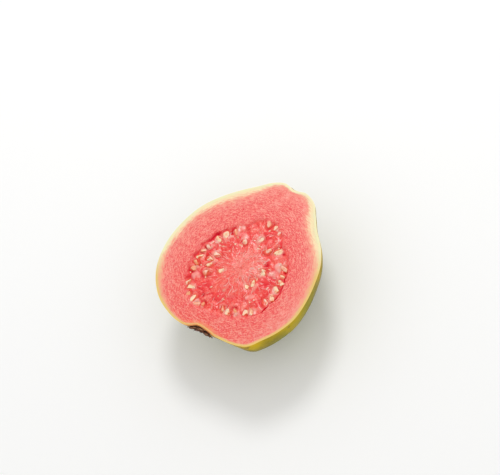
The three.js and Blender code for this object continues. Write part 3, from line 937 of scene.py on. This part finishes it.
seed_material, tree, shader = new_material(
    "guava seed", Roughness=0.26, Subsurface_Weight=0.3, Subsurface_Radius=(1.0, 0.6, 0.4),
    Subsurface_Scale=0.8 * MM, Coat_Weight=0.35, Coat_Roughness=0.16,
)
spot = add_node(tree, "ShaderNodeTexCoord").outputs["Object"]
cover = read(tree, "cover")
uneven = spread(tree, noise_in(tree, spot, 1.8, 1), 0.3, 0.7, -0.25, 0.25)
lit_top = maths(tree, "ADD", read(tree, "lit_top"), uneven)
seed_colour = layered(tree, SEED_CREAM, [
    (cover, 0.35, 0.6, 1, SEED_PINK),
    (cover, 0.7, 0.95, 0.8, SEED_TAN),
    (noise_in(tree, spot, 1.1, 2), 0.52, 0.72, 0.5, SEED_TAN),
    # Painted shade: a seed's sides, which turn away from facing up, are rose, as in shade lit red by the
    # pulp.
    (lit_top, 0.85, 0.45, 1, SEED_SHADE_ROSE),
])
tree.links.new(seed_colour, shader.inputs["Base Color"])

seed_sizes = {
    "Half length": SEED_HALF_LENGTH * MM,
    "Half width": SEED_HALF_WIDTH * MM,
    "Half height": SEED_HALF_HEIGHT * MM,
    "Point": SEED_POINT,
    "Roughness": SEED_ROUGHNESS * MM,
}
tree, given = new_tree("seeds in their places", seed_sizes)
ball = add_node(tree, "GeometryNodeMeshUVSphere", {"Segments": 24, "Rings": 16, "Radius": 1.0}).outputs[0]
spot = add_node(tree, "GeometryNodeInputPosition").outputs[0]
for direction, level in SEED_FLATS:
    spot = flattened(tree, spot, direction, level)
axes = add_node(tree, "ShaderNodeSeparateXYZ", {0: spot}).outputs
taper = maths(tree, "SUBTRACT", 1.0, maths(tree, "MULTIPLY", given["Point"], axes["X"]))
wide = maths(tree, "MULTIPLY", axes["Y"], taper, given["Half width"])
tall = maths(tree, "MULTIPLY", axes["Z"], taper, given["Half height"])
long = maths(tree, "MULTIPLY", axes["X"], given["Half length"])
shape = add_node(tree, "ShaderNodeCombineXYZ", {"X": long, "Y": wide, "Z": tall}).outputs[0]
stone = add_node(tree, "GeometryNodeSetPosition", {"Geometry": ball, "Position": shape}).outputs[0]
turned = named(tree, "turned", "FLOAT_VECTOR")
turned = add_node(tree, "FunctionNodeEulerToRotation", {0: turned}).outputs[0]
copies = add_node(tree, "GeometryNodeInstanceOnPoints", {
    "Points": given["Geometry"], "Instance": stone, "Rotation": turned, "Scale": named(tree, "size"),
}).outputs[0]
real = add_node(tree, "GeometryNodeRealizeInstances", {"Geometry": copies}).outputs[0]
bumps = add_node(tree, "ShaderNodeTexNoise", {"Scale": 1 / (SEED_BUMP * MM), "Detail": 1.0}).outputs["Fac"]
rise = maths(tree, "MULTIPLY", maths(tree, "SUBTRACT", bumps, 0.5), given["Roughness"])
normal = add_node(tree, "GeometryNodeInputNormal").outputs[0]
offset = vector_step(tree, "MULTIPLY", normal, rise)
rough = add_node(tree, "GeometryNodeSetPosition", {"Geometry": real, "Offset": offset}).outputs[0]
# How much each point faces up, kept for the material to paint shade on the seed's sides.
facing_up = add_node(tree, "ShaderNodeSeparateXYZ", {0: normal}).outputs["Z"]
kept = {"Geometry": rough, "Name": "lit_top", "Value": facing_up}
kept = add_node(tree, "GeometryNodeStoreNamedAttribute", kept, data_type="FLOAT", domain="POINT")
finish_tree(tree, kept.outputs[0], seed_material)

grains = []
for number in range(GRAINS):
    x, y = in_zone(2 * math.pi * drawn(number, 11), 0.3 + 0.66 * drawn(number, 12) ** 0.7)
    size = 0.24 + 0.26 * drawn(number, 13)
    surface = cut_face(np.array([x]), np.array([y]))[0][0]
    grains.append(dict(
        x=x,
        y=y,
        z=surface - GRAIN_SUNK * size * SEED_HALF_HEIGHT,
        size=size,
        tilt=0,
        turn=2 * math.pi * drawn(number, 14),
        cover=0.4 + 0.4 * drawn(number, 15),
        roll=math.pi * drawn(number, 16),
    ))
stones = seeds + grains
stone_places = bpy.data.meshes.new("seed places")
stone_places.from_pydata([Vector(place(stone["x"], stone["y"], stone["z"])) for stone in stones], [], [])
seed_piece = bpy.data.objects.new("guava_seeds", stone_places)
carry(seed_piece, "turned", [(stone["roll"], stone["tilt"], stone["turn"]) for stone in stones])
for name in ("size", "cover"):
    carry(seed_piece, name, [stone[name] for stone in stones])
grow(seed_piece, tree, seed_sizes, "guava_half")


# Fine pale fibres have grown through the pulp from its middle outwards, and show as threads on the cut. One
# tree gives a row of points its thickness as a round thread.
FIBRES = 190
FIBRE_THICKNESS = 0.2
FIBRE_STEPS = 14


def grow_threads(name, lines, widths, thickness, material, node):
    """A piece of threads along lines of points in metres. The lines share one list of widths, each a share
    of the thickness in millimetres."""
    tree, given = new_tree(name, ["Thickness"])
    line = add_node(tree, "GeometryNodeMeshToCurve", {0: given["Geometry"]}).outputs[0]
    half = maths(tree, "MULTIPLY", given["Thickness"], 0.5)
    circle = {"Resolution": 5, "Radius": half}
    circle = add_node(tree, "GeometryNodeCurvePrimitiveCircle", circle).outputs[0]
    round_it = {"Curve": line, "Profile Curve": circle, "Scale": named(tree, "width"), "Fill Caps": True}
    finish_tree(tree, add_node(tree, "GeometryNodeCurveToMesh", round_it).outputs[0], material)

    steps = len(widths)
    edges = [(n * steps + k, n * steps + k + 1) for n in range(len(lines)) for k in range(steps - 1)]
    mesh = bpy.data.meshes.new(name)
    mesh.from_pydata(np.concatenate(lines), edges, [])
    piece = bpy.data.objects.new(name, mesh)
    carry(piece, "width", np.tile(widths, len(lines)))
    grow(piece, tree, {"Thickness": thickness * MM}, node)


fibre_material = new_material(
    "pulp fibre", Base_Color=colour(255, 196, 182), Roughness=0.3, Subsurface_Weight=0.3,
    Subsurface_Radius=(1.0, 0.5, 0.4), Subsurface_Scale=0.5 * MM,
)[0]
fibre_lines = []
progress = np.linspace(0, 1, FIBRE_STEPS)
for number in range(FIBRES):
    bearing = 2 * math.pi * drawn(number, 21)
    start = 0.08 + 0.74 * drawn(number, 22)
    length = 1.8 + 4.5 * drawn(number, 23)
    heading = bearing + 0.9 * (drawn(number, 24) - 0.5) + 3 * (drawn(number, 25) - 0.5) * progress
    x, y = in_zone(bearing, start)
    x = x + np.cumsum(np.cos(heading)) * length / FIBRE_STEPS
    y = y + np.cumsum(np.sin(heading)) * length / FIBRE_STEPS
    fibre_lines.append(place(x, y, cut_face(x, y)[0] - 0.05 - 0.12 * (2 * progress - 1) ** 4))
widths = 1 - 0.85 * np.abs(2 * progress - 1) ** 3
grow_threads("guava_fibres", fibre_lines, widths, FIBRE_THICKNESS, fibre_material, "guava_half")


# The calyx is what is left of the flower: four dead sepals on a thin lining in the pit at the blossom end,
# all dry, brown and brittle. It hangs on to the fruit at the pit's floor, and the knife cut it flat too.
PIT_GAP = 0.25
PIT_STATIONS = 50
LINING_RADIUS = 5.2
LINING_THICKNESS = 1.0
LINING_OVERRUN = 0.03
LINING_CRINKLE = 0.1
LINING_RINGS = 14
LINING_SIDES = 72
SEPALS = [
    dict(turn=4, reach=7.2, width=6.2, lift=0.2),
    dict(turn=62, reach=6.2, width=5.6, lift=0.4),
    dict(turn=118, reach=5.7, width=5.8, lift=0.2),
    dict(turn=172, reach=5.9, width=5.6, lift=0.1),
]
SEPAL_ROOT = 1.2
SEPAL_THICKNESS = 0.6
SEPAL_SUNK = 0.45
SEPAL_RAG = 0.5
SEPAL_STEPS = 36
SEPAL_ACROSS = 28
SEPAL_CRINKLE = 0.16


def pit_floor(out, angle):
    """How far along the axis the pit's floor lies, out from the axis and at an angle round it."""
    share = (1 - math.cos(angle)) / 2
    middle = (right_side + (left - right_side) * share)[:PIT_STATIONS, 0]
    return np.interp(out, middle[:, 1], middle[:, 0])


def calyx_point(out, angle, rise):
    """A point of the calyx, out from the axis, round it, and above the side that faces the pit."""
    x = pit_floor(out, angle) - PIT_GAP - rise
    return leaned((x, -out * math.cos(angle), -out * math.sin(angle)))


def crinkled(points, crinkle, pattern):
    """Points of a dry sheet moved along the axis by small sharp folds."""
    points = np.array(points, float)
    folds = soft_noise(points, 2.0, pattern) + 0.6 * (1 - 2 * np.abs(soft_noise(points, 1.1, pattern + 1)))
    points[:, 0] -= crinkle * folds
    return points


def sheet_faces(rows, columns, first=0):
    """Faces of a closed slab: an upper and a lower grid of points with walls round their edges."""
    lower = first + np.arange(rows * columns).reshape(rows, columns)
    upper = lower + rows * columns
    edge = np.concatenate([lower[0, :-1], lower[:-1, -1], lower[-1, :0:-1], lower[:0:-1, 0]])
    walls = between_rings(edge, edge + rows * columns)
    return grid_faces(lower, inwards=True) + grid_faces(upper) + walls


def sepal_sheet(turn, reach, width, lift, number):
    """Points of one sepal: a crinkled blade that lies outwards in the pit, its end ragged."""
    points = []
    for face in (0, 1):
        for along in np.linspace(0, 1, SEPAL_STEPS):
            for across in np.linspace(-1, 1, SEPAL_ACROSS):
                torn = SEPAL_RAG * math.sin(9 * across + number) * math.sin(4 * across + 2 * number)
                out = SEPAL_ROOT + (reach + torn * along - SEPAL_ROOT) * along
                half = 0.5 * width * math.sqrt(1 - 0.8 * along ** 5) * (0.6 + 0.4 * along ** 0.5)
                side = half * across * (1 + 0.08 * math.sin(11 * along + number))
                angle = math.radians(turn) + math.atan2(side, out)
                thin = 1 - 0.5 * max(along, abs(across)) ** 2
                rise = SEPAL_SUNK * (1 - 0.5 * along) + lift * along ** 2.5 + 0.2 * across ** 2 * along
                rise += face * SEPAL_THICKNESS * thin
                points.append(calyx_point(math.hypot(out, side), angle, rise))
    return crinkled(points, SEPAL_CRINKLE, 30 + number)


def cut_flat(piece):
    """Welds a piece's doubled points, takes off all of it above the cut plane, and closes it there."""
    shape = bmesh.new()
    shape.from_mesh(piece.data)
    bmesh.ops.remove_doubles(shape, verts=shape.verts[:], dist=0.001 * MM)
    whole = shape.verts[:] + shape.edges[:] + shape.faces[:]
    plane = dict(plane_co=(0, 0, CUT_LEVEL), plane_no=(0, 0, 1))
    bmesh.ops.bisect_plane(shape, geom=whole, clear_outer=True, **plane)
    bmesh.ops.holes_fill(shape, edges=[edge for edge in shape.edges if edge.is_boundary])
    bmesh.ops.recalc_face_normals(shape, faces=shape.faces[:])
    shape.to_mesh(piece.data)
    shape.free()


CALYX_DARK = colour(46, 16, 8)
CALYX_BROWN = colour(116, 56, 32)
CALYX_TAN = colour(186, 138, 98)
calyx_material, tree, shader = new_material("dried calyx", Roughness=0.8, Specular_IOR_Level=0.15)
spot = add_node(tree, "ShaderNodeTexCoord").outputs["Object"]
veins = noise_in(tree, spot, (0.5, 2.4, 0.7), 4)
calyx_colour = layered(tree, CALYX_DARK, [
    (noise_in(tree, spot, 1.3, 4), 0.42, 0.6, 1, CALYX_BROWN),
    (veins, 0.5, 0.62, 0.9, CALYX_TAN),
])
tree.links.new(calyx_colour, shader.inputs["Base Color"])
roughen(tree, shader, veins, 0.6, 0.25)

lining_points = []
for face in (0, 1):
    for share in np.linspace(0, 1, LINING_RINGS):
        thick = LINING_THICKNESS * (1 - 0.4 * share)
        for turned in math.pi * np.linspace(-LINING_OVERRUN, 1 + LINING_OVERRUN, LINING_SIDES):
            lining_points.append(calyx_point(LINING_RADIUS * share, turned, face * thick))
lining_points = crinkled(lining_points, LINING_CRINKLE, 40)
sheets = [("calyx_lining", lining_points, LINING_RINGS, LINING_SIDES)]
for number, sepal in enumerate(SEPALS):
    points = sepal_sheet(**sepal, number=number)
    sheets.append((f"calyx_sepal_{number + 1}", points, SEPAL_STEPS, SEPAL_ACROSS))
for name, points, rows, columns in sheets:
    piece = new_piece(name, place(*points.T), sheet_faces(rows, columns), calyx_material)
    cut_flat(piece)
    piece.data.shade_smooth()
    piece.data.set_sharp_from_angle(angle=math.radians(40))
    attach(piece, "root")
    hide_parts("calyx")


# Dried stamens stand in the calyx. They are stiff brown threads on its lining, left from the flower and bent
# every way, and are made as the fibres are.
STAMENS = 34
STAMEN_THICKNESS = 0.22
STAMEN_STEPS = 9
STAMEN_FOOT = 0.5
STAMEN_BELOW_CUT = 0.2

stamen_material = new_material("dried stamen", Base_Color=colour(92, 58, 38), Roughness=0.75)[0]
stamen_lines = []
progress = np.linspace(0, 1, STAMEN_STEPS)
for number in range(STAMENS):
    angle = math.pi * (0.06 + 0.88 * drawn(number, 31))
    start = 0.4 + 3.6 * drawn(number, 32)
    length = 0.9 + 0.9 * drawn(number, 33)
    outs = start + length * 0.7 * progress ** 1.5 * (drawn(number, 34) + 0.2)
    angles = angle + 0.3 * (drawn(number, 35) - 0.5) * progress
    line = np.array([calyx_point(out, turned, STAMEN_FOOT) for out, turned in zip(outs, angles)])
    line[:, 0] -= length * 0.75 * np.sin(progress * (1.1 + 0.8 * drawn(number, 36)))
    line[:, 2] = np.minimum(line[:, 2], -STAMEN_BELOW_CUT)
    stamen_lines.append(place(*line.T))
grow_threads(
    "calyx_stamens", stamen_lines, 1 - 0.5 * progress, STAMEN_THICKNESS, stamen_material,
    "calyx",
)
